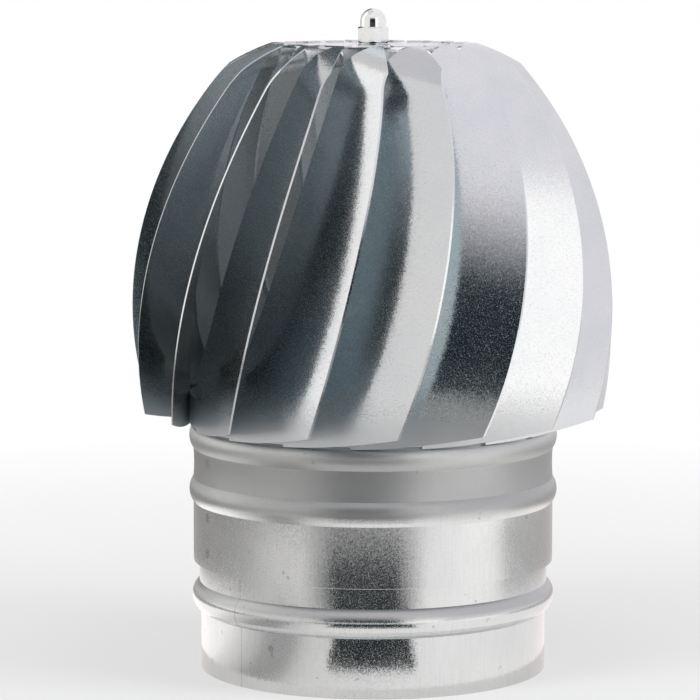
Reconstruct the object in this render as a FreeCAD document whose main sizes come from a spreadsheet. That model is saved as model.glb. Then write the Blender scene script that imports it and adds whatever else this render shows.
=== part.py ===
import FreeCAD, Part
import math
import os

import Sketcher

# Rotating chimney cowl for a 150 mm flue, in millimetres and degrees.
# The origin is the middle of the spigot's bottom rim. +Z is up, the head turns about Z.
# Fixed base: spigot, collar, bridge strap, spindle and the clamped inner parts of the bearings.
# Turning head: top disc, curved vanes, lower ring, bearing housing and outer bearing parts.

SIZES = [
    ("sheet_wall", 0.6, "galvanised sheet of the spigot and the collar"),
    ("seat_gap", 0.05, "play between pieces that are slipped or welded together"),
    ("thread_gap", 0.05, "play between a thread and its nut"),
    # spigot that slips into the flue
    ("spigot_radius", 74.5, "outer radius of the plain end"),
    ("spigot_length", 25.4, "plain length below the stop bead"),
    ("stop_bead_width", 12.6, "bead that stops the spigot on the flue"),
    ("stop_bead_height", 3.4, "how far the stop bead stands out"),
    ("neck_extra_radius", 0.7, "how much wider the neck is than the plain end"),
    ("neck_length", 9.1, "neck between the stop bead and the collar"),
    ("flare_length", 3.0, "cone that widens the neck to the collar's bore"),
    ("lap_length", 17.0, "spigot wall welded inside the collar"),
    # collar with two beads
    ("collar_extra_radius", 3.15, "how much wider the collar is than the plain end"),
    ("bead_width", 10.3, "width of the collar's two beads"),
    ("bead_height", 1.75, "how far the collar's beads stand out"),
    ("lower_bead_rise", 30.8, "collar's bottom edge to the middle of its lower bead"),
    ("bead_spacing", 23.3, "middle of one collar bead to the next"),
    ("valley_depth", 0.3, "how far the wall draws in between the collar's beads"),
    ("collar_top_rise", 11.3, "middle of the upper bead to the collar's top edge"),
    # bridge strap across the collar
    ("strap_thickness", 2.5, "flat bar of the bridge"),
    ("strap_width", 25.0, "flat bar of the bridge"),
    ("strap_drop", 16.0, "length of the strap's bent ends"),
    ("strap_depth", 16.5, "collar's top edge down to the strap's upper face"),
    ("strap_bend", 3.0, "inner radius of the strap's two bends"),
    # spindle and its nuts
    ("spindle_radius", 4.0, "threaded rod"),
    ("spindle_tail", 4.5, "rod below the lower bridge nut"),
    ("spindle_chamfer", 0.8, "chamfer at both ends of the rod"),
    ("nut_flats", 13.0, "across the flats of every nut"),
    ("nut_height", 6.5, "plain nuts"),
    ("nut_face_radius", 6.1, "flat round face of the cap nut inside its chamfer"),
    ("nut_chamfer_angle", 30.0, "chamfer on the corners of the cap nut"),
    ("washer_radius", 8.0, "washers at the bridge"),
    ("washer_thickness", 1.6, "washers at the bridge"),
    ("shim_radius", 6.0, "narrow washer and spacers against the inner bearing rings"),
    ("shim_thickness", 1.6, "narrow washer under the lower bearing"),
    ("cap_hex_height", 6.9, "hexagon of the cap nut"),
    ("cap_height", 14.7, "whole cap nut"),
    ("cap_dome_radius", 5.5, "dome of the cap nut"),
    ("cap_thread_depth", 10.0, "blind thread of the cap nut"),
    ("cap_gap", 0.6, "cap nut above the turning disc"),
    # bearings of 8 mm bore
    ("bearing_radius", 11.0, "outside of the outer ring"),
    ("bearing_width", 7.0, "both rings"),
    ("inner_race_radius", 6.05, "outside of the inner ring"),
    ("outer_race_radius", 9.5, "inside of the outer ring"),
    ("seal_thickness", 0.5, "rubber seal"),
    ("seal_recess", 0.4, "seal below the ring's face"),
    ("seal_gap", 0.3, "seal to the inner ring"),
    ("bearing_span", 30.0, "length of the spacer between the bearings"),
    # bearing housing
    ("housing_wall", 2.0, "wall round the bearings"),
    ("housing_shoulder", 1.5, "how far the shoulders stand in from the bearing seat"),
    ("housing_flange_radius", 29.0, "flange welded under the disc"),
    ("housing_flange_thickness", 1.5, "flange welded under the disc"),
    ("circlip_thickness", 1.0, "retaining ring under the lower bearing"),
    ("circlip_width", 2.2, "radial width of the retaining ring"),
    ("circlip_groove", 0.8, "depth of its groove in the housing"),
    ("circlip_opening_angle", 50.0, "left open in the retaining ring"),
    ("housing_lip", 1.2, "housing below the retaining ring"),
    # top disc
    ("head_height", 162.6, "lower ring's bottom edge to the disc's upper face"),
    ("disc_inset", 36.8, "rim of the disc inside the lower ring's outer face"),
    ("disc_thickness", 0.8, "sheet of the disc"),
    ("disc_hole_radius", 7.2, "hole round the top spacer"),
    # lower ring
    ("ring_gap", 0.75, "running gap between the lower ring and the collar"),
    ("ring_thickness", 0.6, "sheet of the lower ring"),
    ("ring_height", 13.4, "lower ring from edge to edge"),
    ("ring_lap", 6.3, "how far the ring reaches down over the collar"),
    ("ring_hem", 3.5, "folded hem inside the ring's top edge"),
    # vanes
    ("vane_count", 17, "vanes round the head"),
    ("vane_phase_angle", 5.7, "turn of the first vane"),
    ("vane_thickness", 0.6, "sheet of the vanes"),
    ("vane_bend", 303.0, "radius that the vane sheets are rolled to"),
    ("vane_bend_rise", 4.5, "ring's bottom edge to the level where a vane is upright"),
    ("vane_dip_angle", 12.0, "fall of the vane's bending lines towards its outer edge"),
    ("vane_start_angle", 3.6, "angle from where a vane meets the ring to its inner edge"),
    ("vane_overhang", 25.0, "widest line of the head outside the lower ring"),
    ("head_level_rise", 45.2, "ring's bottom edge to the widest level of the head"),
    ("head_arc", 166.0, "radius of the head's outline"),
    ("core_arc", 250.0, "radius of the line that the inner edges follow"),
    ("core_level_rise", 33.3, "ring's bottom edge to the top of the upright inner edges"),
    ("hem_overhang", 1.0, "inner bottom corner of a vane below the ring's bottom edge"),
    ("hem_rise", 5.8, "outer bottom corner of a vane above the ring's bottom edge"),
    ("fold_reach", 23.1, "where the line of the bend at a vane's top crosses the feet's level"),
    ("fold_radius", 28.0, "inside radius of that bend"),
    ("flap_angle", 15.7, "slope of the sheet above the bend"),
    ("flap_end_angle", 58.0, "where the vane ends, from its own X axis"),
    ("foot_start_angle", 43.5, "where the foot on the disc starts"),
    ("foot_inner_radius", 33.0, "inner edge of the feet on the disc"),
]

doc = FreeCAD.newDocument("chimney_cowl")
sheet = doc.addObject("Spreadsheet::Sheet", "Sizes")
for row, (alias, value, note) in enumerate(SIZES, start=1):
    sheet.set(f"A{row}", alias)
    sheet.set(f"B{row}", str(value))
    sheet.set(f"C{row}", note)
    sheet.setAlias(f"B{row}", alias)
doc.recompute()

# Lengths that follow from the sizes, as expressions.
# Every name in braces is filled in from this table or from the sheet.
DERIVED = {
    "collar_radius": "({spigot_radius} + {collar_extra_radius})",
    "ring_radius": "({collar_radius} + {ring_gap} + {ring_thickness})",
    "head_radius": "({ring_radius} + {vane_overhang})",
    "disc_radius": "({ring_radius} - {disc_inset})",
    "collar_bore": "({collar_radius} - {sheet_wall})",
    "collar_bottom": "({spigot_length} + {stop_bead_width} + {neck_length})",
    "lower_bead": "({collar_bottom} + {lower_bead_rise})",
    "upper_bead": "({lower_bead} + {bead_spacing})",
    "collar_top": "({upper_bead} + {collar_top_rise})",
    "strap_top": "({collar_top} - {strap_depth})",
    "strap_end": "({collar_bore} - {valley_depth} - {seat_gap})",
    "ring_bottom": "({collar_top} - {ring_lap})",
    "disc_level": "({ring_bottom} + {head_height})",
    "disc_under": "({disc_level} - {disc_thickness})",
    "foot_top": "({disc_level} + {vane_thickness})",
    "upper_bearing": "({disc_under} - {bearing_width})",
    "lower_bearing": "({upper_bearing} - {bearing_span} - {bearing_width})",
    "shim_bottom": "({lower_bearing} - {shim_thickness})",
    "cap_bottom": "({disc_level} + {cap_gap})",
    "bend_level": "({ring_bottom} + {vane_bend_rise})",
    "bend_setback": "({vane_bend} - {ring_radius} - {seat_gap})",
    "core_level": "({ring_bottom} + {core_level_rise})",
    "fold_level": "({foot_top} + {fold_reach} * tan({vane_dip_angle}))",
    "fold_rise": "(({fold_level} - {bend_level}) * cos({vane_dip_angle}))",
    "fold_turn": "(asin({fold_rise} / ({vane_bend} + {vane_thickness})) / 1 deg)",
    "fold_x": "(({vane_bend} + {vane_thickness}) * cos({fold_turn}) - {bend_setback})",
}


def expression(text):
    """Fill in the names in braces until only cells of the sheet are left."""
    aliases = {alias for alias, _, _ in SIZES}
    while "{" in text:
        start = text.index("{")
        end = text.index("}", start)
        name = text[start + 1:end]
        if name in DERIVED:
            filled = DERIVED[name]
        elif name in aliases:
            filled = f"Sizes.{name}"
        else:
            raise KeyError(name)
        text = text[:start] + filled + text[end + 1:]
    return text


def number(text):
    """The present value of an expression."""
    return float(sheet.evalExpression(expression(text)))


def bind(thing, prop, text):
    """Tie a property to the sheet."""
    thing.setExpression(prop, expression(text))


def new_body(name):
    body = doc.addObject("PartDesign::Body", name)
    body.Label = name
    return body


def new_sketch(body, plane, name, height=None):
    """A sketch on one of the body's origin planes, raised by an optional height."""
    sketch = body.newObject("Sketcher::SketchObject", f"{body.Name}_{name}")
    for feature in body.Origin.OriginFeatures:
        if feature.Role == plane:
            sketch.AttachmentSupport = [(feature, "")]
    sketch.MapMode = "FlatFace"
    if height is not None:
        bind(sketch, "AttachmentOffset.Base.z", height)
    return sketch


def arc_between(start, end, radius, bulge):
    """Arc from start to end that bulges to the left of its way (+1) or to the right (-1)."""
    chord = end - start
    half = chord.Length / 2
    left = FreeCAD.Vector(-chord.y, chord.x, 0) / chord.Length
    centre = (start + end) / 2 - left * bulge * math.sqrt(max(radius**2 - half**2, 0))
    circle = Part.Circle(centre, FreeCAD.Vector(0, 0, 1), radius)
    first, last = (end, start) if bulge > 0 else (start, end)
    return Part.ArcOfCircle(circle, circle.parameter(first), circle.parameter(last))


def outline(sketch, corners, arcs=None):
    """Closed outline through corners given as pairs of expressions.

    arcs gives, for the side that starts at a corner's index, its radius and bulge.
    """
    arcs = arcs or {}
    points = [FreeCAD.Vector(number(x), number(y), 0) for x, y in corners]
    ends = []
    for index, start in enumerate(points):
        end = points[(index + 1) % len(points)]
        if index in arcs:
            radius, bulge = arcs[index]
            side = sketch.addGeometry(arc_between(start, end, number(radius), bulge), False)
            fixed = sketch.addConstraint(Sketcher.Constraint("Radius", side, number(radius)))
            bind(sketch, f"Constraints[{fixed}]", radius)
            ends.append((side, 2, 1) if bulge > 0 else (side, 1, 2))
        else:
            side = sketch.addGeometry(Part.LineSegment(start, end), False)
            ends.append((side, 1, 2))
    for index, (side, first, _) in enumerate(ends):
        before, _, last = ends[index - 1]
        sketch.addConstraint(Sketcher.Constraint("Coincident", before, last, side, first))
        for kind, text in zip(("DistanceX", "DistanceY"), corners[index]):
            fixed = sketch.addConstraint(
                Sketcher.Constraint(kind, -1, 1, side, first, number(text)))
            bind(sketch, f"Constraints[{fixed}]", text)


def turn(body, sketch, name="turn", angle=None):
    """Revolve a sketch of the XZ plane about Z."""
    feature = body.newObject("PartDesign::Revolution", f"{body.Name}_{name}")
    feature.Profile = sketch
    feature.ReferenceAxis = (sketch, ["V_Axis"])
    feature.Angle = 360
    if angle is not None:
        bind(feature, "Angle", angle)
    return feature


def turned(name, corners, arcs=None, angle=None):
    """A piece turned or rolled about Z from the outline of its section."""
    body = new_body(name)
    sketch = new_sketch(body, "XZ_Plane", "section")
    outline(sketch, corners, arcs)
    turn(body, sketch, angle=angle)
    return body


def ring_section(inner, outer, bottom, top):
    """Corners of a rectangular section."""
    return [(inner, bottom), (outer, bottom), (outer, top), (inner, top)]


def pad(body, sketch, length, name="pad", midplane=False):
    feature = body.newObject("PartDesign::Pad", f"{body.Name}_{name}")
    feature.Profile = sketch
    bind(feature, "Length", length)
    feature.Midplane = midplane
    return feature


def round_hole(body, radius, length, name="hole", height=None, midplane=False):
    """Pocket of a circle on the axis, upwards from the given height."""
    sketch = new_sketch(body, "XY_Plane", f"{name}_circle", height)
    circle = Part.Circle(FreeCAD.Vector(0, 0, 0), FreeCAD.Vector(0, 0, 1), number(radius))
    sketch.addGeometry(circle, False)
    sketch.addConstraint(Sketcher.Constraint("Coincident", 0, 3, -1, 1))
    sketch.addConstraint(Sketcher.Constraint("Radius", 0, number(radius)))
    bind(sketch, "Constraints[1]", radius)
    pocket = body.newObject("PartDesign::Pocket", f"{body.Name}_{name}")
    pocket.Profile = sketch
    bind(pocket, "Length", length)
    pocket.Midplane = midplane
    pocket.Reversed = not midplane
    return pocket


# Sheet-metal sleeves: a bead is one arc on each side of the wall.
def bead_radius(width, height):
    return f"(({width} / 2)^2 + {height}^2) / (2 * {height})"


def lower_spigot():
    wall = "{sheet_wall}"
    neck = "({spigot_radius} + {neck_extra_radius})"
    lap = "({collar_bore} - {seat_gap})"
    bead_end = "({spigot_length} + {stop_bead_width})"
    flare_start = "({collar_bottom} - {sheet_wall})"
    flare_end = f"({flare_start} + {{flare_length}})"
    top = f"({flare_end} + {{lap_length}})"
    bead = bead_radius("{stop_bead_width}", "{stop_bead_height}")
    outside = [
        ("{spigot_radius}", "0"),
        ("{spigot_radius}", "{spigot_length}"),
        (neck, bead_end),
        (neck, flare_start),
        (lap, flare_end),
        (lap, top),
    ]
    inside = [(f"{x} - {wall}", level) for x, level in reversed(outside)]
    arcs = {1: (bead, -1), 9: (bead, 1)}
    return turned("lower_spigot", outside + inside, arcs)


def upper_collar():
    wall = "{sheet_wall}"
    half = "{bead_width} / 2"
    bead = bead_radius("{bead_width}", "{bead_height}")
    valley = bead_radius("({bead_spacing} - {bead_width})", "{valley_depth}")
    levels = [
        "{collar_bottom}",
        f"{{lower_bead}} - {half}",
        f"{{lower_bead}} + {half}",
        f"{{upper_bead}} - {half}",
        f"{{upper_bead}} + {half}",
        "{collar_top}",
    ]
    outside = [("{collar_radius}", level) for level in levels]
    inside = [(f"{{collar_radius}} - {wall}", level) for level in reversed(levels)]
    arcs = {
        1: (bead, -1), 2: (valley, 1), 3: (bead, -1),
        7: (bead, 1), 8: (valley, -1), 9: (bead, 1),
    }
    return turned("upper_collar", outside + inside, arcs)


def bridge_strap():
    """Flat bar bent down at both ends, which are shaped to the narrowest part of the collar."""
    bar = new_body("strap_bar")
    reach = "({strap_end} + {strap_thickness})"
    inner = "(sqrt({strap_end}^2 - ({strap_width} / 2)^2) - {strap_thickness})"
    under = "({strap_top} - {strap_thickness})"
    foot = "({strap_top} - {strap_drop})"
    section = new_sketch(bar, "XZ_Plane", "section")
    outline(section, [
        (f"-{reach}", "{strap_top}"),
        (reach, "{strap_top}"),
        (reach, foot),
        (inner, foot),
        (inner, f"{under} - {{strap_bend}}"),
        (f"{inner} - {{strap_bend}}", under),
        (f"-({inner} - {{strap_bend}})", under),
        (f"-{inner}", f"{under} - {{strap_bend}}"),
        (f"-{inner}", foot),
        (f"-{reach}", foot),
    ], {4: ("{strap_bend}", -1), 6: ("{strap_bend}", -1)})
    pad(bar, section, "{strap_width}", midplane=True)
    doc.recompute()
    round_hole(bar, "{spindle_radius} + {thread_gap}", "4 * {strap_thickness}",
               height="{strap_top}", midplane=True)
    bore = doc.addObject("Part::Cylinder", "strap_bore")
    bind(bore, "Radius", "{strap_end}")
    bind(bore, "Height", "{collar_top}")
    strap = doc.addObject("Part::Common", "bridge_strap")
    strap.Base = bar
    strap.Tool = bore
    return strap


# Spindle, washers, spacers and nuts.
def spindle():
    radius = "{spindle_radius}"
    chamfer = "{spindle_chamfer}"
    bottom = ("({strap_top} - {strap_thickness} - {washer_thickness} - {nut_height}"
              " - {spindle_tail})")
    top = "({cap_bottom} + {cap_thread_depth} - {spindle_chamfer})"
    return turned("spindle", [
        ("0", bottom),
        (f"{radius} - {chamfer}", bottom),
        (radius, f"{bottom} + {chamfer}"),
        (radius, f"{top} - {chamfer}"),
        (f"{radius} - {chamfer}", top),
        ("0", top),
    ])


def washer(name, bottom, thickness="{washer_thickness}", outer="{washer_radius}"):
    """Flat washer or spacer round the spindle, from its bottom upwards."""
    inner = "{spindle_radius} + {thread_gap}"
    return turned(name, ring_section(inner, outer, bottom, f"{bottom} + {thickness}"))


def hexagon(body, height, bottom):
    """Hexagonal prism with a corner towards the front."""
    sketch = new_sketch(body, "XY_Plane", "hexagon", bottom)
    corner = "({nut_flats} / sqrt(3))"
    outline(sketch, [(f"{corner} * sin({60 * side})", f"{corner} * cos({60 * side})")
                     for side in range(6)][::-1])
    return pad(body, sketch, height)


def chamfer_corners(body, levels):
    """Cut the corners of a hexagon at each level, given with its outward direction."""
    face = "{nut_face_radius}"
    clear = "({nut_flats} * 0.6)"
    rise = f"(({clear} - {face}) * tan({{nut_chamfer_angle}}))"
    for index, (level, way) in enumerate(levels):
        sketch = new_sketch(body, "XZ_Plane", f"corner_{index}")
        outline(sketch, [
            (face, level),
            (clear, f"{level} - {way} * {rise}"),
            (clear, f"{level} + {way} * {rise}"),
            (face, f"{level} + {way} * {rise}"),
        ])
        groove = body.newObject("PartDesign::Groove", f"{body.Name}_corners_{index}")
        groove.Profile = sketch
        groove.ReferenceAxis = (sketch, ["V_Axis"])
        groove.Angle = 360


def hex_nut(name, bottom):
    body = new_body(name)
    hexagon(body, "{nut_height}", bottom)
    doc.recompute()
    round_hole(body, "{spindle_radius} + {thread_gap}", "{nut_height} + 2",
               height=f"{bottom} - 1")
    return body


def acorn_nut():
    """Cap nut: chamfered hexagon, short neck, round dome and a blind thread."""
    body = new_body("acorn_nut")
    hexagon(body, "{cap_hex_height}", "{cap_bottom}")
    chamfer_corners(body, [("{cap_bottom}", -1), ("({cap_bottom} + {cap_hex_height})", 1)])
    dome = new_sketch(body, "XZ_Plane", "dome")
    shoulder = "({cap_bottom} + {cap_height} - {cap_dome_radius})"
    outline(dome, [
        ("0", "{cap_bottom} + {cap_hex_height} / 2"),
        ("{cap_dome_radius}", "{cap_bottom} + {cap_hex_height} / 2"),
        ("{cap_dome_radius}", shoulder),
        ("0", "{cap_bottom} + {cap_height}"),
    ], {2: ("{cap_dome_radius}", -1)})
    turn(body, dome, "dome_turn")
    doc.recompute()
    round_hole(body, "{spindle_radius} + {thread_gap}", "{cap_thread_depth}",
               height="{cap_bottom}")
    return body


# Bearings: the inner ring is clamped on the spindle, the outer ring sits in the housing.
def bearing(place, bottom):
    top = f"{bottom} + {{bearing_width}}"
    inner = turned(f"{place}_bearing_inner_ring",
                   ring_section("{spindle_radius} + {seat_gap}", "{inner_race_radius}",
                                bottom, top))
    outer = turned(f"{place}_bearing_outer_ring",
                   ring_section("{outer_race_radius}", "{bearing_radius}", bottom, top))
    seals = new_body(f"{place}_bearing_seals")
    section = new_sketch(seals, "XZ_Plane", "section")
    inside = "{inner_race_radius} + {seal_gap}"
    low = f"{bottom} + {{seal_recess}}"
    high = f"{top} - {{seal_recess}} - {{seal_thickness}}"
    for level in (low, high):
        outline(section, ring_section(inside, "{outer_race_radius}", level,
                                      f"{level} + {{seal_thickness}}"))
    turn(seals, section)
    return [inner], [outer, seals]


def bearing_housing():
    """Flanged tube with a bearing seat at each end and a groove for the retaining ring."""
    outer = "({bearing_radius} + {housing_wall})"
    seat = "({bearing_radius} + {seat_gap})"
    shoulder = "({bearing_radius} - {housing_shoulder})"
    groove = "({bearing_radius} + {circlip_groove} + {seat_gap})"
    clip_bottom = "({lower_bearing} - {circlip_thickness})"
    bottom = f"({clip_bottom} - {{housing_lip}})"
    return turned("bearing_housing", [
        (outer, bottom),
        (outer, "{disc_under} - {housing_flange_thickness}"),
        ("{housing_flange_radius}", "{disc_under} - {housing_flange_thickness}"),
        ("{housing_flange_radius}", "{disc_under}"),
        (seat, "{disc_under}"),
        (seat, "{upper_bearing}"),
        (shoulder, "{upper_bearing}"),
        (shoulder, "{lower_bearing} + {bearing_width}"),
        (seat, "{lower_bearing} + {bearing_width}"),
        (seat, "{lower_bearing}"),
        (groove, "{lower_bearing}"),
        (groove, clip_bottom),
        (seat, clip_bottom),
        (seat, bottom),
    ])


def housing_circlip():
    clip_outer = "({bearing_radius} + {circlip_groove})"
    corners = ring_section(f"{clip_outer} - {{circlip_width}}", clip_outer,
                           "{lower_bearing} - {circlip_thickness}", "{lower_bearing}")
    return turned("housing_circlip", corners, angle="360 - {circlip_opening_angle}")


def top_disc():
    return turned("top_disc", ring_section("{disc_hole_radius}", "{disc_radius}",
                                           "{disc_under}", "{disc_level}"))


def lower_ring():
    """Band that the vanes are welded to, with its top edge folded inwards and down."""
    inner = "({ring_radius} - {ring_thickness})"
    hem = "({ring_radius} - 2 * {ring_thickness})"
    top = "({ring_bottom} + {ring_height})"
    return turned("lower_ring", [
        (inner, "{ring_bottom}"),
        ("{ring_radius}", "{ring_bottom}"),
        ("{ring_radius}", top),
        (hem, top),
        (hem, f"{top} - {{ring_hem}}"),
        (inner, f"{top} - {{ring_hem}}"),
    ])


# Vanes. In the first vane's own frame the sheet's bending lines run along +Y,
# falling by the dip, and the sheet stands upright where it meets the ring on the X axis.
def bend_lines(shape, x, level):
    """Names of the edges that cross a point of the XZ plane and run along the bending lines."""
    dip = math.radians(number("{vane_dip_angle}"))
    direction = FreeCAD.Vector(0, math.cos(dip), -math.sin(dip))
    crossing = Part.Vertex(number(x), 0, number(level))
    found = []
    for index, edge in enumerate(shape.Edges, start=1):
        run = edge.Vertexes[-1].Point - edge.Vertexes[0].Point
        along = run.Length > 0 and abs(run.normalize().dot(direction)) > 0.999
        if along and edge.distToShape(crossing)[0] < 0.001:
            found.append(f"Edge{index}")
    return found


def fillet(body, base, x, level, radius, name):
    """Round the bend that crosses a point of the XZ plane."""
    feature = body.newObject("PartDesign::Fillet", f"{body.Name}_{name}")
    feature.Base = (base, bend_lines(base.Shape, x, level))
    bind(feature, "Radius", radius)
    doc.recompute()
    return feature


def rolled(name, corners, arcs):
    """Bar along the bending lines, from the outline of its section across them."""
    body = new_body(name)
    section = new_sketch(body, "XZ_Plane", "section")
    section.AttachmentOffset.Rotation.Axis = FreeCAD.Vector(1, 0, 0)
    bind(section, "AttachmentOffset.Rotation.Angle", "-{vane_dip_angle}")
    outline(section, corners, arcs)
    bar = pad(body, section, "2 * {head_radius}", midplane=True)
    doc.recompute()
    rounded = fillet(body, bar, "{fold_x}", "{fold_level}", "{fold_radius} + {vane_thickness}",
                     "outer_fold")
    return body, rounded


def vane_bars():
    """The rolled sheet of a vane, wider and longer than needed, and the room on its inner side."""
    outer_bend = "({vane_bend} + {vane_thickness})"
    bend_height = "({bend_level} * cos({vane_dip_angle}))"
    fold_height = "({fold_level} * cos({vane_dip_angle}))"
    low_turn = "asin(({vane_bend_rise} + {ring_height}) / {vane_bend})"
    fold_half = "((90 - {flap_angle} - {fold_turn}) / 2)"
    corner = f"({{vane_thickness}} / cos{fold_half})"
    inner_fold_x = f"({{fold_x}} - {corner} * cos({fold_half} + {{fold_turn}}))"
    inner_fold_height = f"({fold_height} - {corner} * sin({fold_half} + {{fold_turn}}))"
    flap_top = f"({fold_height} + {{fold_x}} * tan({{flap_angle}}))"
    outer_foot = (f"{outer_bend} * cos({low_turn}) - {{bend_setback}}",
                  f"{bend_height} - {outer_bend} * sin({low_turn})")
    outer_fold = ("{fold_x}", fold_height)
    sheet_bar, rounded = rolled("vane_sheet", [
        (f"{{vane_bend}} * cos({low_turn}) - {{bend_setback}}",
         f"{bend_height} - {{vane_bend}} * sin({low_turn})"),
        outer_foot,
        outer_fold,
        ("0", flap_top),
        ("0", f"{flap_top} - {{vane_thickness}} / cos({{flap_angle}})"),
        (inner_fold_x, inner_fold_height),
    ], {1: (outer_bend, -1), 5: ("{vane_bend}", 1)})
    fillet(sheet_bar, rounded, inner_fold_x, f"{inner_fold_height} / cos({{vane_dip_angle}})",
           "{fold_radius}", "inner_fold")
    room, _ = rolled("vane_room", [
        outer_foot,
        outer_fold,
        ("0", flap_top),
        ("0", f"{bend_height} - {outer_bend} * sin({low_turn})"),
    ], {0: (outer_bend, -1)})
    return sheet_bar, room


def vane_envelope():
    """Room of one vane: the head's outline turned through the angle that the vane spans."""
    body = new_body("vane_envelope")
    section = new_sketch(body, "XZ_Plane", "section")
    head_level = "({ring_bottom} + {head_level_rise})"
    head_centre = "({head_radius} - {head_arc})"
    hem_level = "({ring_bottom} + {hem_rise})"

    def head_outline(level):
        return f"{head_centre} + sqrt({{head_arc}}^2 - ({level} - {head_level})^2)"

    core_top = ("{ring_radius} - {core_arc}"
                " + sqrt({core_arc}^2 - ({foot_top} - {core_level})^2)")
    outline(section, [
        ("{ring_radius}", "{ring_bottom} - {hem_overhang}"),
        (head_outline(hem_level), hem_level),
        (head_outline("{foot_top}"), "{foot_top}"),
        (core_top, "{foot_top}"),
        ("{ring_radius}", "{core_level}"),
    ], {1: ("{head_arc}", -1), 3: ("{core_arc}", 1)})
    turn(body, section, angle="{flap_end_angle} - {vane_start_angle}")
    bind(body, "Placement.Rotation.Angle", "{vane_start_angle}")
    return body


def vane_foot(room):
    """Flat foot on the disc, outwards to the outer face of the vane's sheet."""
    wedge = new_body("vane_foot_wedge")
    section = new_sketch(wedge, "XZ_Plane", "section")
    outline(section, ring_section("{foot_inner_radius}", "{head_radius}",
                                  "{disc_level}", "{foot_top}"))
    turn(wedge, section, angle="{flap_end_angle} - {foot_start_angle}")
    bind(wedge, "Placement.Rotation.Angle", "{foot_start_angle}")
    foot = doc.addObject("Part::Common", "vane_foot")
    foot.Base = wedge
    foot.Tool = room
    return foot


def vanes():
    """All vanes: one made in full, then repeated round the axis."""
    sheet_bar, room = vane_bars()
    blade = doc.addObject("Part::Common", "vane_blade")
    blade.Base = sheet_bar
    blade.Tool = vane_envelope()
    vane = doc.addObject("Part::MultiFuse", "vane")
    vane.Shapes = [blade, vane_foot(room)]
    doc.recompute()
    copies = []
    for index in range(int(number("{vane_count}"))):
        name = f"vane_{index + 1:02d}"
        copy = doc.addObject("App::Link", name)
        copy.LinkedObject = vane
        copy.Label = name
        bind(copy, "Placement.Rotation.Angle", f"{{vane_phase_angle}} + {index} * 360 / {{vane_count}}")
        copies.append(copy)
    return copies


strap_under = "({strap_top} - {strap_thickness})"
upper_inner, upper_outer = bearing("upper", "{upper_bearing}")
lower_inner, lower_outer = bearing("lower", "{lower_bearing}")
subparts = [
    lower_spigot(),
    upper_collar(),
    bridge_strap(),
    spindle(),
    washer("bridge_lower_washer", f"({strap_under} - {{washer_thickness}})"),
    hex_nut("bridge_lower_nut", f"({strap_under} - {{washer_thickness}} - {{nut_height}})"),
    washer("bridge_upper_washer", "{strap_top}"),
    hex_nut("bridge_upper_nut", "({strap_top} + {washer_thickness})"),
    hex_nut("support_nut", "({shim_bottom} - {nut_height})"),
    washer("support_shim", "{shim_bottom}", "{shim_thickness}", "{shim_radius}"),
    *lower_inner,
    washer("bearing_spacer", "({lower_bearing} + {bearing_width})", "{bearing_span}",
           "{shim_radius}"),
    *upper_inner,
    washer("top_spacer", "{disc_under}", "({disc_thickness} + {cap_gap})", "{shim_radius}"),
    acorn_nut(),
    top_disc(),
    *vanes(),
    lower_ring(),
    bearing_housing(),
    housing_circlip(),
    *lower_outer,
    *upper_outer,
]
doc.recompute()


for thing in doc.Objects:
    if "Invalid" in thing.State or "Error" in thing.State:
        raise RuntimeError(f"{thing.Label} failed: {thing.State}")
for piece in subparts:
    if piece.Shape.isNull() or not piece.Shape.isValid():
        raise RuntimeError(f"{piece.Label} has no valid shape")
os.makedirs("parts", exist_ok=True)
for piece in subparts:
    piece.Shape.exportStep(f"parts/{piece.Label}.step")
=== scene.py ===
import math

import bmesh
import bpy
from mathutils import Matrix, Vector


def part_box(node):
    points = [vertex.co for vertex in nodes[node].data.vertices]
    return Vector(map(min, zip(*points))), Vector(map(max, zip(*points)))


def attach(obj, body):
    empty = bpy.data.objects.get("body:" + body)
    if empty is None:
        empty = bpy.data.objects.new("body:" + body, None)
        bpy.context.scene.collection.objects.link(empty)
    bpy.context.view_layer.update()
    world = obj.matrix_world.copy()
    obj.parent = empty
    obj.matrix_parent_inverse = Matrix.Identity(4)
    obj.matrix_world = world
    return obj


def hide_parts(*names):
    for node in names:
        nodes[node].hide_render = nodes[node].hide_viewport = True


# Rotating chimney cowl of galvanised sheet. Everything is in metres, in the CAD part's frame.
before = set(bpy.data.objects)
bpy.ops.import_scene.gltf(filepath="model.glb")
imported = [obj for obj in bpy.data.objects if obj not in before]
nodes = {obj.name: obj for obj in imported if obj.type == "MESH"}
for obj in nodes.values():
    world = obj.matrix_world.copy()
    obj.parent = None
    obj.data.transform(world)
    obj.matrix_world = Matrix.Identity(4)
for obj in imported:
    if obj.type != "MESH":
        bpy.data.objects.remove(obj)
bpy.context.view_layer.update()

MM = 0.001
SLEEVE_NODES = ["lower_spigot", "upper_collar"]
HEAD_SHEET_NODES = [name for name in sorted(nodes) if name.startswith("vane_")]
HEAD_SHEET_NODES += ["top_disc", "lower_ring"]
ZINC_NODES = [
    "bridge_strap", "bridge_lower_washer", "bridge_lower_nut", "bridge_upper_washer",
    "bridge_upper_nut", "support_nut", "support_shim", "bearing_spacer", "top_spacer",
    "bearing_housing", "housing_circlip",
]
STEEL_NODES = [
    "lower_bearing_inner_ring", "upper_bearing_inner_ring",
    "lower_bearing_outer_ring", "upper_bearing_outer_ring",
]
RUBBER_NODES = ["lower_bearing_seals", "upper_bearing_seals"]

# Radius of the collar's wall.
COLLAR_WALL = 77.65 * MM

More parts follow.
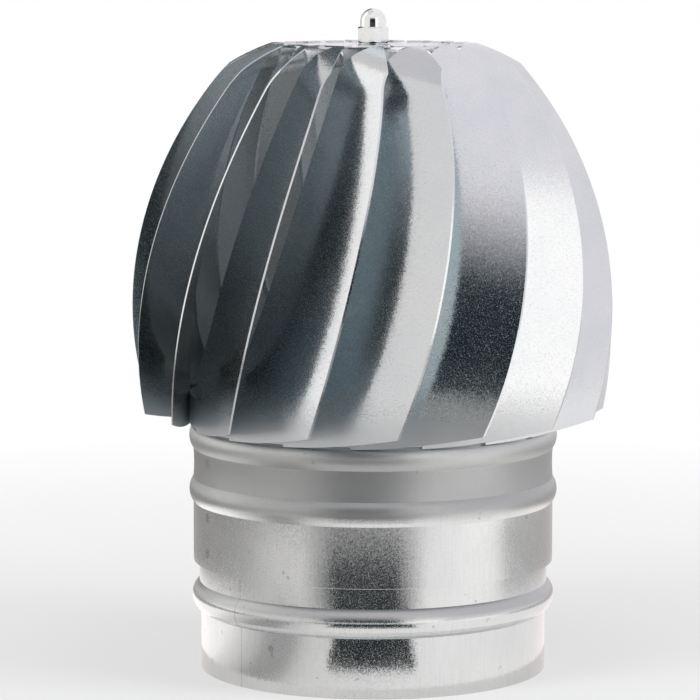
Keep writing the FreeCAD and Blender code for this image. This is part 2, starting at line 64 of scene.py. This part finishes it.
# Zinc colours of the vanes and the sleeves: the darker and the lighter cloud, and the tint of a
# patch. Then those of the drawn lines, of painted shade in the matt zone and on faces that look up,
# of that painted shade made lighter near the top as painted light, and of dirt.
VANE_TINTS = ((0.605, 0.665, 0.69), (0.66, 0.705, 0.72), (0.585, 0.65, 0.685))
SLEEVE_TINTS = ((0.61, 0.655, 0.665), (0.655, 0.70, 0.71), (0.57, 0.615, 0.64))
LINE_TINT = (0.50, 0.535, 0.545)
PAINTED_SHADE = (0.375, 0.405, 0.41)
LIGHTER_PAINTED_SHADE = (0.54, 0.58, 0.585)
DIRT = (0.30, 0.31, 0.32)

# Zinc crystals to the metre, and how much rougher the matt ones and the vanes' lower ends are.
CRYSTALS = 2300.0
MATT = 0.28

# Heights between which the zinc changes: the collar turns matt and takes painted shade, that painted
# shade is made lighter near the top as painted light, and the vanes lose the dullness of their
# lower ends. Then the height where the spigot's seam ends.
COLLAR_DULLS_AND_SHADES = (74 * MM, 78 * MM)
PAINTED_SHADE_LIGHTENS = (95 * MM, 104 * MM)
VANE_CLEARS = (109 * MM, 132 * MM)
SEAM_TOP = 46 * MM

# Marks on the sleeves, each as degrees from the front, height and radius: three spot welds of
# the collar's seam and the dimple that holds the spigot's. Then the place of the spigot's seam.
WALL_MARKS = [
    (-65, 92.5 * MM, 2.2 * MM), (-65, 69.4 * MM, 2.2 * MM), (-65, 54.2 * MM, 2.2 * MM),
    (-35, 18.7 * MM, 1.6 * MM),
]
SEAM_TURN = -48

# Camera, as fitted to the photograph.
IMAGE_SIDE = 700
FOCAL_PIXELS = 3600.0
CAMERA_DISTANCE = 1.5415
CAMERA_HEIGHT = 0.3195
CAMERA_TILT = 6.74
CAMERA_TURN = 0.37

FLOOR_SIDE = 60.0

# Light of the surroundings on matt surfaces, and the soft boxes that light them too.
SURROUND_LIGHT = 0.55
BOX_SIZE = (0.7, 0.9)
BOX_POWER = 9.0
BOX_TARGET = (0, 0, 0.15)

# Tones of the floor that the metal sees, as degrees from the camera's side and a level.
NEAR_FLOOR = [(-180, 1.20), (-98, 1.25), (-84, 1.00), (-66, 0.66), (-50, 0.42), (-38, 0.68), (-28, 0.86),
              (30, 1.10), (75, 1.10), (180, 1.00)]
MIDDLE_FLOOR = [(-180, 0.45), (-95, 0.42), (-55, 0.80), (25, 1.10), (70, 1.20), (92, 0.58), (180, 0.65)]
FAR_FLOOR = [(-180, 0.32), (-60, 0.32), (5, 0.52), (45, 1.10), (75, 1.35), (100, 0.85), (180, 0.55)]
OUTER_FLOOR = [(-180, 0.42), (-130, 0.45), (-100, 0.95), (-60, 0.88), (-28, 0.45), (5, 0.42), (45, 1.10),
               (75, 1.35), (100, 0.85), (180, 0.55)]

# Radii between which each row of tones takes over from the one before, and where that floor
# starts and ends, as a radius and a height.
FLOOR_CHANGES = [((0.20, 0.30), MIDDLE_FLOOR), ((0.45, 0.60), FAR_FLOOR), ((0.70, 0.95), OUTER_FLOOR)]
SHEET_START = (0.09, 0.001)
SHEET_END = (8.0, 0.001)

# Dark edge of the table on that floor: between which degrees it comes and goes, and between which
# radii. Nearer than it stand low ribs, dark to the spigot and edge on to all that is higher.
EDGE_LEFT = (-42, -22)
EDGE_RIGHT = (13, 31)
EDGE_NEAR = (0.235, 0.25)
EDGE_FAR = (0.41, 0.57)
RIB_COUNT = 9
RIB_SIDES = (-21, 20)
RIB_START = 0.128
RIB_STEP = 0.013
RIB_HEIGHT = 0.005

# Cards: the degrees that a flat part of them spans, radius and top of the walls, radius of the
# nearer front, the ceiling's middle, and the turns where the dark room begins, where the bright
# box takes over from it and where that ends.
CARD_FACET = 6
WALL_RADIUS = 2.0
WALL_TOP = 3.1
FRONT_RADIUS = 1.75
CEILING_MIDDLE = (0.02, 3.3)
ROOM_START = -31
BRIGHT_START = 19
BRIGHT_END = 43

# Casts of the studio, which meet the cool metal: the floor, the left and the bright box are warm,
# and the right and what is high are rosy.
WARM = (1.08, 1.0, 0.975)
ROSY = (1.085, 1.0, 1.03)

# M8 thread, the facets that its mesh gets round the rod and to a turn, and the rod's chamfer.
THREAD_PITCH = 1.25 * MM
THREAD_DEPTH = 0.61 * THREAD_PITCH
THREAD_SIDES = 28
THREAD_STEPS = 6
ROD_CHAMFER = 0.8 * MM


# Node helpers.
class Shader:
    """Short way to build a node material."""

    def __init__(self, name):
        self.material = bpy.data.materials.new(name)
        self.material.use_nodes = True
        self.tree = self.material.node_tree
        self.tree.nodes.clear()
        self.output = self.add("ShaderNodeOutputMaterial")

    def add(self, kind, **settings):
        node = self.tree.nodes.new(kind)
        for key, value in settings.items():
            setattr(node, key, value)
        return node

    def link(self, source, target):
        self.tree.links.new(source, target)

    def value(self, socket, source):
        """Link a socket, or set it to a constant."""
        if isinstance(source, (int, float, tuple)):
            socket.default_value = source
        else:
            self.link(source, socket)

    def math(self, operation, a, b=0.0):
        node = self.add("ShaderNodeMath", operation=operation)
        self.value(node.inputs[0], a)
        self.value(node.inputs[1], b)
        return node.outputs[0]

    def position(self):
        return self.add("ShaderNodeTexCoord").outputs["Object"]

    def parts(self, vector):
        node = self.add("ShaderNodeSeparateXYZ")
        self.link(vector, node.inputs[0])
        return node.outputs

    def length(self, vector):
        node = self.add("ShaderNodeVectorMath", operation="LENGTH")
        self.link(vector, node.inputs[0])
        return node.outputs["Value"]

    def turn(self, x, y):
        """Angle round the axis from the camera's side, in radians."""
        return self.math("ARCTAN2", x, self.math("MULTIPLY", y, -1.0))

    def vector(self, x, y, z):
        node = self.add("ShaderNodeCombineXYZ")
        for socket, source in zip(node.inputs, (x, y, z)):
            self.value(socket, source)
        return node.outputs[0]

    def noise(self, vector, scale, detail, roughness, distortion=0.0):
        node = self.add("ShaderNodeTexNoise")
        self.link(vector, node.inputs["Vector"])
        node.inputs["Scale"].default_value = scale
        node.inputs["Detail"].default_value = detail
        node.inputs["Roughness"].default_value = roughness
        node.inputs["Distortion"].default_value = distortion
        return node.outputs[0]

    def cells(self, vector, scale):
        """Voronoi cells, each with a random colour."""
        node = self.add("ShaderNodeTexVoronoi")
        self.link(vector, node.inputs["Vector"])
        node.inputs["Scale"].default_value = scale
        return node.outputs["Color"]

    def spread(self, source, low, high, out_low, out_high):
        """Map a value's range to another one, clamped."""
        node = self.add("ShaderNodeMapRange")
        self.value(node.inputs["Value"], source)
        node.inputs["From Min"].default_value = low
        node.inputs["From Max"].default_value = high
        node.inputs["To Min"].default_value = out_low
        node.inputs["To Max"].default_value = out_high
        return node.outputs["Result"]

    def mix(self, factor, a, b, blend="MIX"):
        node = self.add("ShaderNodeMix", data_type="RGBA", blend_type=blend)
        self.value(node.inputs["Factor"], factor)
        for socket, source in ((node.inputs["A"], a), (node.inputs["B"], b)):
            socket_source = (*source, 1.0) if isinstance(source, tuple) and len(source) == 3 else source
            self.value(socket, socket_source)
        return node.outputs["Result"]

    def ramp(self, turn, stops):
        """Grey tone by degrees round the object. The curve holds half of each level."""
        node = self.add("ShaderNodeFloatCurve")
        curve = node.mapping.curves[0]
        node.mapping.use_clip = False
        for index, (degrees, level) in enumerate(stops):
            point = (degrees / 360 + 0.5, level / 2)
            if index < 2:
                curve.points[index].location = point
            else:
                curve.points.new(*point)
        node.mapping.update()
        self.link(self.math("ADD", self.math("DIVIDE", turn, 360.0), 0.5), node.inputs["Value"])
        return self.math("MULTIPLY", node.outputs[0], 2.0)

    def glow(self, colour):
        node = self.add("ShaderNodeEmission")
        self.value(node.inputs["Color"], colour)
        self.link(node.outputs[0], self.output.inputs["Surface"])

    def bump(self, height, strength, distance, normal=None):
        node = self.add("ShaderNodeBump")
        node.inputs["Strength"].default_value = strength
        node.inputs["Distance"].default_value = distance
        self.link(height, node.inputs["Height"])
        if normal is not None:
            self.link(normal, node.inputs["Normal"])
        return node.outputs[0]

    def tilt(self, normal, colour, amount):
        """Lean a normal by a random colour, as crystals of zinc do."""
        centred = self.add("ShaderNodeVectorMath", operation="SUBTRACT")
        self.link(colour, centred.inputs[0])
        centred.inputs[1].default_value = (0.5, 0.5, 0.5)
        scaled = self.add("ShaderNodeVectorMath", operation="SCALE")
        self.link(centred.outputs[0], scaled.inputs[0])
        scaled.inputs["Scale"].default_value = amount
        leaned = self.add("ShaderNodeVectorMath", operation="ADD")
        self.link(normal, leaned.inputs[0])
        self.link(scaled.outputs[0], leaned.inputs[1])
        unit = self.add("ShaderNodeVectorMath", operation="NORMALIZE")
        self.link(leaned.outputs[0], unit.inputs[0])
        return unit.outputs[0]

    def surface(self, **sockets):
        shader = self.add("ShaderNodeBsdfPrincipled")
        for name, source in sockets.items():
            self.value(shader.inputs[name.replace("_", " ")], source)
        self.link(shader.outputs[0], self.output.inputs["Surface"])
        return self.material


def wall_coordinates(shader, position):
    """Coordinates that follow a round wall: the way round and the height, in metres."""
    x, y, z = shader.parts(position)
    return shader.math("MULTIPLY", shader.turn(x, y), COLLAR_WALL), z


def spot(shader, across, up, turn, height, radius):
    """Mask of a round mark on the wall: 1 inside, 0 outside."""
    side = shader.math("SUBTRACT", across, math.radians(turn) * COLLAR_WALL)
    rise = shader.math("SUBTRACT", up, height)
    away = shader.math("SQRT", shader.math("ADD", shader.math("MULTIPLY", side, side),
                                           shader.math("MULTIPLY", rise, rise)))
    return shader.spread(away, 0.7 * radius, 1.15 * radius, 1.0, 0.0)


def zinc_coat(shader, place, base_roughness, tints):
    """Colour, roughness and normal of galvanised sheet: cloudy zinc with a fine sparkling grain,
    some of whose crystals are matt."""
    clouds = shader.noise(place, 55.0, 4.0, 0.6)
    blotches = shader.noise(place, 14.0, 3.0, 0.5, 0.4)
    grain = shader.noise(place, CRYSTALS, 2.0, 0.65)
    crystals = shader.cells(place, CRYSTALS)
    low, high, patch = tints
    colour = shader.mix(shader.spread(clouds, 0.3, 0.7, 0.0, 1.0), low, high)
    colour = shader.mix(shader.spread(blotches, 0.45, 0.7, 0.0, 0.6), colour, patch)
    matt = shader.spread(grain, 0.50, 0.70, 0.0, 1.0)
    rough = shader.math("ADD", shader.spread(clouds, 0.3, 0.7, -0.015, 0.02), base_roughness)
    rough = shader.math("ADD", rough, shader.math("MULTIPLY", matt, MATT))
    normal = shader.bump(blotches, 0.3, 0.3 * MM)
    normal = shader.tilt(normal, crystals, 0.035)
    return colour, rough, normal


def galvanised_vane(name):
    """The head's sheets, duller towards their lower ends."""
    shader = Shader(name)
    place = shader.position()
    colour, rough, normal = zinc_coat(shader, place, 0.11, VANE_TINTS)
    low_end = shader.spread(shader.parts(place)[2], *VANE_CLEARS, MATT, 0.0)
    rough = shader.math("ADD", rough, low_end)
    return shader.surface(Base_Color=colour, Metallic=1.0, Roughness=rough, Normal=normal)


def galvanised_sleeve(name):
    """The drawn sleeves: fine upright lines, a matt zone from between the collar's beads up and matt
    faces that look up, both darkened with painted shade that painted light lifts near the top,
    spot welds, the spigot's lap seam and a few dark specks."""
    shader = Shader(name)
    place = shader.position()
    colour, rough, normal = zinc_coat(shader, place, 0.10, SLEEVE_TINTS)
    across, up = wall_coordinates(shader, place)
    drawn = shader.vector(across, shader.math("MULTIPLY", up, 0.07), 0.0)
    lines = shader.noise(drawn, 900.0, 3.0, 0.6)
    colour = shader.mix(shader.spread(lines, 0.45, 0.75, 0.0, 0.3), colour, LINE_TINT)
    normal = shader.bump(lines, 0.6, 0.04 * MM, normal)
    # Faces that look up turn matt and take painted shade.
    faces = shader.add("ShaderNodeNewGeometry").outputs["Normal"]
    up_facing_dull_and_shade = shader.spread(shader.parts(faces)[2], 0.08, 0.35, 0.0, 1.0)
    # The collar's zone above its beads turns matt and takes painted shade too.
    dull_and_shade = shader.spread(up, *COLLAR_DULLS_AND_SHADES, 0.0, 1.0)
    dull_and_shade = shader.math("MAXIMUM", dull_and_shade, shader.math("MULTIPLY", up_facing_dull_and_shade, 0.8))
    rough = shader.math("ADD", rough, shader.math("MULTIPLY", dull_and_shade, 0.27))
    # Painted shade darkens the colour of both; near the top it is made lighter, as painted light.
    painted_shade_tone = shader.mix(shader.spread(up, *PAINTED_SHADE_LIGHTENS, 0.0, 1.0), PAINTED_SHADE, LIGHTER_PAINTED_SHADE)
    colour = shader.mix(shader.math("MULTIPLY", dull_and_shade, 0.9), colour, painted_shade_tone)
    marks = 0.0
    for turn, height, radius in WALL_MARKS:
        marks = shader.math("MAXIMUM", marks, spot(shader, across, up, turn, height, radius))
    seam = shader.math("SUBTRACT", across, math.radians(SEAM_TURN) * COLLAR_WALL)
    seam = shader.math("ABSOLUTE", seam)
    below = shader.math("LESS_THAN", up, SEAM_TOP)
    lap = shader.math("MULTIPLY", shader.spread(seam, 0.15 * MM, 0.5 * MM, 1.0, 0.0), below)
    specks = shader.noise(place, 300.0, 1.0, 0.4)
    dirt = shader.spread(specks, 0.74, 0.78, 0.0, 0.5)
    dirt = shader.math("MAXIMUM", dirt, shader.math("MULTIPLY", lap, 0.45))
    dirt = shader.math("MAXIMUM", dirt, shader.math("MULTIPLY", marks, 0.55))
    colour = shader.mix(dirt, colour, DIRT)
    normal = shader.bump(shader.math("MAXIMUM", marks, lap), -0.7, 0.3 * MM, normal)
    return shader.surface(Base_Color=colour, Metallic=1.0, Roughness=rough, Normal=normal)


def zinc_plated(name):
    """Zinc-plated steel: smoother than the sheet, with a faint blue cast."""
    shader = Shader(name)
    place = shader.position()
    haze = shader.noise(place, 180.0, 4.0, 0.6)
    grain = shader.noise(place, 2200.0, 2.0, 0.5)
    colour = shader.mix(shader.spread(haze, 0.3, 0.7, 0.0, 1.0), (0.66, 0.69, 0.73), (0.76, 0.78, 0.80))
    rough = shader.math("ADD", shader.spread(haze, 0.3, 0.7, 0.24, 0.34),
                        shader.spread(grain, 0.3, 0.7, -0.04, 0.04))
    normal = shader.bump(grain, 0.12, 0.04 * MM)
    return shader.surface(Base_Color=colour, Metallic=1.0, Roughness=rough, Normal=normal)


def ground_steel(name):
    """Ground bearing steel with fine lines round the axis."""
    shader = Shader(name)
    place = shader.position()
    x, y, z = shader.parts(place)
    radius = shader.math("SQRT", shader.math("ADD", shader.math("MULTIPLY", x, x),
                                             shader.math("MULTIPLY", y, y)))
    rings = shader.noise(shader.vector(radius, z, 0.0), 3000.0, 2.0, 0.5)
    colour = shader.mix(shader.spread(rings, 0.3, 0.7, 0.0, 1.0), (0.62, 0.63, 0.64), (0.72, 0.73, 0.74))
    rough = shader.spread(rings, 0.3, 0.7, 0.14, 0.24)
    normal = shader.bump(rings, 0.1, 0.03 * MM)
    return shader.surface(Base_Color=colour, Metallic=1.0, Roughness=rough, Normal=normal)


def polished_cap(name):
    """Polished cap nut with a few faint wipe marks."""
    shader = Shader(name)
    place = shader.position()
    smears = shader.noise(place, 420.0, 3.0, 0.6, 0.6)
    grain = shader.noise(place, 5200.0, 2.0, 0.5)
    colour = shader.mix(shader.spread(smears, 0.3, 0.7, 0.0, 1.0), (0.75, 0.80, 0.79), (0.82, 0.88, 0.87))
    rough = shader.spread(smears, 0.3, 0.7, 0.07, 0.15)
    normal = shader.bump(grain, 0.04, 0.02 * MM)
    return shader.surface(Base_Color=colour, Metallic=1.0, Roughness=rough, Normal=normal)


def seal_rubber(name):
    shader = Shader(name)
    place = shader.position()
    grain = shader.noise(place, 3000.0, 3.0, 0.6)
    colour = shader.mix(grain, (0.025, 0.025, 0.028), (0.05, 0.05, 0.055))
    rough = shader.spread(grain, 0.3, 0.7, 0.55, 0.7)
    normal = shader.bump(grain, 0.2, 0.03 * MM)
    return shader.surface(Base_Color=colour, Metallic=0.0, Roughness=rough, Normal=normal)


def paint(names, material):
    for name in names:
        slots = nodes[name].data.materials
        slots.clear()
        slots.append(material)


# Meshes made here.
def new_piece(name, mesh_data, material, body):
    mesh = bpy.data.meshes.new(name)
    mesh_data.normal_update()
    mesh_data.to_mesh(mesh)
    mesh_data.free()
    mesh.materials.append(material)
    piece = bpy.data.objects.new(name, mesh)
    bpy.context.scene.collection.objects.link(piece)
    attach(piece, body)
    return piece


def threaded_rod(material):
    """The spindle with its real M8 thread."""
    low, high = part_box("spindle")
    radius = high.x
    rows = int((high.z - low.z) / THREAD_PITCH * THREAD_STEPS)
    rod = bmesh.new()
    rings = []
    for row in range(rows + 1):
        z = low.z + (high.z - low.z) * row / rows
        end = min(z - low.z, high.z - z)
        limit = radius - max(ROD_CHAMFER - end, 0.0)
        ring = []
        for side in range(THREAD_SIDES):
            turn = side / THREAD_SIDES
            phase = (z / THREAD_PITCH - turn) % 1.0
            crest = abs(phase - 0.5) * 2
            # Crest and root are flat.
            cut = THREAD_DEPTH * min(max(crest * 1.35 - 0.15, 0.0), 1.0)
            reach = min(radius - cut, limit)
            ring.append(rod.verts.new((reach * math.cos(turn * math.tau),
                                       reach * math.sin(turn * math.tau), z)))
        rings.append(ring)
    for lower, upper in zip(rings, rings[1:]):
        for side in range(THREAD_SIDES):
            after = (side + 1) % THREAD_SIDES
            rod.faces.new((lower[side], lower[after], upper[after], upper[side]))
    rod.faces.new(rings[0][::-1])
    rod.faces.new(rings[-1])
    piece = new_piece("spindle_thread", rod, material, "base")
    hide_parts("spindle")


paint(SLEEVE_NODES, galvanised_sleeve("galvanised_sleeve"))
paint(HEAD_SHEET_NODES, galvanised_vane("galvanised_vane"))
zinc = zinc_plated("zinc_plated")
paint(ZINC_NODES, zinc)
paint(STEEL_NODES, ground_steel("bearing_steel"))
paint(["acorn_nut"], polished_cap("polished_cap"))
paint(RUBBER_NODES, seal_rubber("seal_rubber"))
threaded_rod(zinc)


# Studio: pale floor, white surroundings, two soft boxes, and the floor and cards that the metal sees.
def camera():
    data = bpy.data.cameras.new("photo_camera")
    data.sensor_width = 36.0
    data.lens = FOCAL_PIXELS / IMAGE_SIDE * data.sensor_width
    data.clip_end = 20.0
    eye = bpy.data.objects.new("photo_camera", data)
    bpy.context.scene.collection.objects.link(eye)
    eye.location = (0.0, -CAMERA_DISTANCE, CAMERA_HEIGHT)
    eye.rotation_euler = (math.radians(90 - CAMERA_TILT), 0.0, math.radians(CAMERA_TURN))
    bpy.context.scene.camera = eye


def soft_box(name, place):
    """A lamp that lights matt surfaces, and that the metal doesn't see."""
    data = bpy.data.lights.new(name, "AREA")
    data.shape = "RECTANGLE"
    data.size, data.size_y = BOX_SIZE
    data.energy = BOX_POWER
    lamp = bpy.data.objects.new(name, data)
    lamp.location = place
    way = Vector(BOX_TARGET) - Vector(place)
    lamp.rotation_euler = way.to_track_quat("-Z", "Y").to_euler()
    lamp.visible_glossy = False
    bpy.context.scene.collection.objects.link(lamp)


def stage_mesh(name, corners, faces, material):
    mesh = bpy.data.meshes.new(name)
    mesh.from_pydata(corners, [], faces)
    mesh.materials.append(material)
    piece = bpy.data.objects.new(name, mesh)
    bpy.context.scene.collection.objects.link(piece)
    return piece


def pale_floor():
    """Floor that keeps the shadow and fades to white away from the object. The metal sees it a
    little warm, mainly close round the spigot."""
    shader = Shader("pale_floor")
    place = shader.position()
    mottle = shader.noise(place, 3.0, 3.0, 0.5)
    colour = shader.mix(mottle, (0.86, 0.86, 0.86), (0.90, 0.90, 0.90))
    seen = shader.add("ShaderNodeLightPath")
    cast = shader.mix(seen.outputs["Is Glossy Ray"], (1.0, 1.0, 1.0), WARM)
    diffuse = shader.add("ShaderNodeBsdfDiffuse")
    shader.link(shader.mix(1.0, colour, cast, "MULTIPLY"), diffuse.inputs["Color"])
    glow = shader.add("ShaderNodeEmission")
    shader.link(cast, glow.inputs["Color"])
    away = shader.length(place)
    direct = shader.math("MULTIPLY", seen.outputs["Is Camera Ray"], shader.spread(away, 0.1, 0.7, 0.35, 1.0))
    mirrored = shader.math("MAXIMUM", seen.outputs["Is Glossy Ray"], seen.outputs["Is Transmission Ray"])
    mirrored = shader.math("MULTIPLY", mirrored, shader.spread(away, 0.09, 0.15, 0.4, 1.0))
    mixer = shader.add("ShaderNodeMixShader")
    shader.link(shader.math("MAXIMUM", direct, mirrored), mixer.inputs["Fac"])
    shader.link(diffuse.outputs[0], mixer.inputs[1])
    shader.link(glow.outputs[0], mixer.inputs[2])
    shader.link(mixer.outputs[0], shader.output.inputs["Surface"])
    side = FLOOR_SIDE / 2
    stage_mesh("floor", [(-side, -side, 0), (side, -side, 0), (side, side, 0), (-side, side, 0)],
               [(0, 1, 2, 3)], shader.material)


def ring_strip(name, start, end, near, far, material):
    """A sheet of the studio that only shiny surfaces see. It runs round from start to end, in
    degrees from the camera's side, and from near to far, each a radius and a height."""
    steps = max(int((end - start) / CARD_FACET), 1)
    corners = []
    for step in range(steps + 1):
        turn = math.radians(start + (end - start) * step / steps)
        for radius, height in (near, far):
            corners.append((radius * math.sin(turn), -radius * math.cos(turn), height))
    faces = [(2 * k, 2 * k + 1, 2 * k + 3, 2 * k + 2) for k in range(steps)]
    piece = stage_mesh(name, corners, faces, material)
    piece.visible_camera = False
    piece.visible_diffuse = False
    piece.visible_shadow = False


def card(name, start, end, near, far, tone, above=None):
    """A standing or lying card. Above is the height where its tone starts to change, the height
    where it has changed, and the tone from there up."""
    shader = Shader(name)
    place = shader.position()
    weave = shader.noise(place, 9.0, 3.0, 0.5)
    colour = shader.mix(weave, tuple(0.95 * part for part in tone), tuple(1.05 * part for part in tone))
    if above:
        low, high, top = above
        height = shader.parts(place)[2]
        colour = shader.mix(shader.spread(height, low, high, 0.0, 1.0), colour, top)
    shader.glow(colour)
    ring_strip(name, start, end, near, far, shader.material)


def grey(level):
    """A grey that is a little cooler in the dark."""
    cool = 0.35 * max(0.5 - level, 0.0)
    return (level * (1 - cool), level, level * (1 + 0.6 * cool))


def pale(level, cast):
    """A pale tone with one of the studio's casts."""
    return tuple(level * part for part in cast)


def floor_sheet():
    """The floor that the metal sees: pale near the object, grey farther off on the left, pale on
    the right, with the dark edge of the table in front."""
    shader = Shader("floor_sheet")
    place = shader.position()
    x, y, _ = shader.parts(place)
    turn = shader.math("MULTIPLY", shader.turn(x, y), 180 / math.pi)
    away = shader.length(place)
    tone = shader.ramp(turn, NEAR_FLOOR)
    for radii, row in FLOOR_CHANGES:
        tone = shader.mix(shader.spread(away, *radii, 0.0, 1.0), tone, shader.ramp(turn, row))
    sides = shader.math("MULTIPLY", shader.spread(turn, *EDGE_LEFT, 0.0, 1.0),
                        shader.spread(turn, *EDGE_RIGHT, 1.0, 0.0))
    depth = shader.math("MULTIPLY", shader.spread(away, *EDGE_NEAR, 0.0, 1.0),
                        shader.spread(away, *EDGE_FAR, 1.0, 0.0))
    tone = shader.mix(shader.math("MULTIPLY", sides, depth), tone, grey(0.04))
    shader.glow(shader.mix(1.0, tone, WARM, "MULTIPLY"))
    ring_strip("floor_sheet", -180, 180, SHEET_START, SHEET_END, shader.material)
    for rib in range(RIB_COUNT):
        radius = RIB_START + RIB_STEP * rib
        card(f"floor_rib_{rib + 1}", *RIB_SIDES, (radius, 0.0), (radius, RIB_HEIGHT), grey(0.03))


def studio_cards():
    """Cards round the object: pale walls at both sides, a bright box to the right of the camera,
    the dark room behind it with a pale wall above, a grey and a pale ceiling, and a dark gap
    behind on the left."""
    foot = (WALL_RADIUS, 0.0)
    top = (WALL_RADIUS, WALL_TOP)
    card("card_far_left", -150, -124, foot, top, pale(0.80, WARM))
    card("card_side_left", -124, -90, foot, top, pale(1.25, WARM))
    card("card_left", -90, ROOM_START, foot, top, pale(0.92, WARM))
    card("card_right", BRIGHT_END, 184, foot, top, pale(0.95, ROSY))
    card("card_bright", BRIGHT_START, BRIGHT_END, (FRONT_RADIUS, 0.0), (FRONT_RADIUS, 1.6),
         pale(1.42, WARM), (1.3, 1.6, pale(0.85, ROSY)))
    card("card_room", ROOM_START, BRIGHT_START, (FRONT_RADIUS, 0.15), (FRONT_RADIUS, 1.5),
         (0.013, 0.024, 0.030), (0.85, 1.4, pale(0.85, ROSY)))
    card("card_upper", ROOM_START, BRIGHT_END, (WALL_RADIUS, 1.5), top, pale(0.98, ROSY))
    card("card_high_left", -180, -40, top, CEILING_MIDDLE, pale(0.74, ROSY))
    card("card_high_right", -40, 180, top, CEILING_MIDDLE, pale(0.98, ROSY))
    card("card_back_left", -176, -150, (WALL_RADIUS, 0.2), (WALL_RADIUS, 2.3), grey(0.12))


def surroundings():
    """White all round to the camera and in the metal, and a weaker light on matt surfaces."""
    world = bpy.data.worlds.new("studio")
    bpy.context.scene.world = world
    world.use_nodes = True
    tree = world.node_tree
    tree.nodes.clear()
    seen = tree.nodes.new("ShaderNodeLightPath")
    direct = seen.outputs["Is Camera Ray"]
    for ray in ("Is Glossy Ray", "Is Transmission Ray"):
        either = tree.nodes.new("ShaderNodeMath")
        either.operation = "MAXIMUM"
        tree.links.new(direct, either.inputs[0])
        tree.links.new(seen.outputs[ray], either.inputs[1])
        direct = either.outputs[0]
    strength = tree.nodes.new("ShaderNodeMapRange")
    strength.inputs["To Min"].default_value = SURROUND_LIGHT
    strength.inputs["To Max"].default_value = 1.0
    tree.links.new(direct, strength.inputs["Value"])
    background = tree.nodes.new("ShaderNodeBackground")
    background.inputs["Color"].default_value = (1, 1, 1, 1)
    tree.links.new(strength.outputs["Result"], background.inputs["Strength"])
    output = tree.nodes.new("ShaderNodeOutputWorld")
    tree.links.new(background.outputs[0], output.inputs["Surface"])


camera()
pale_floor()
floor_sheet()
studio_cards()
surroundings()
soft_box("box_left", (-1.1, -0.9, 1.0))
soft_box("box_right", (1.2, -0.5, 0.9))
bpy.context.scene.view_settings.view_transform = "Standard"
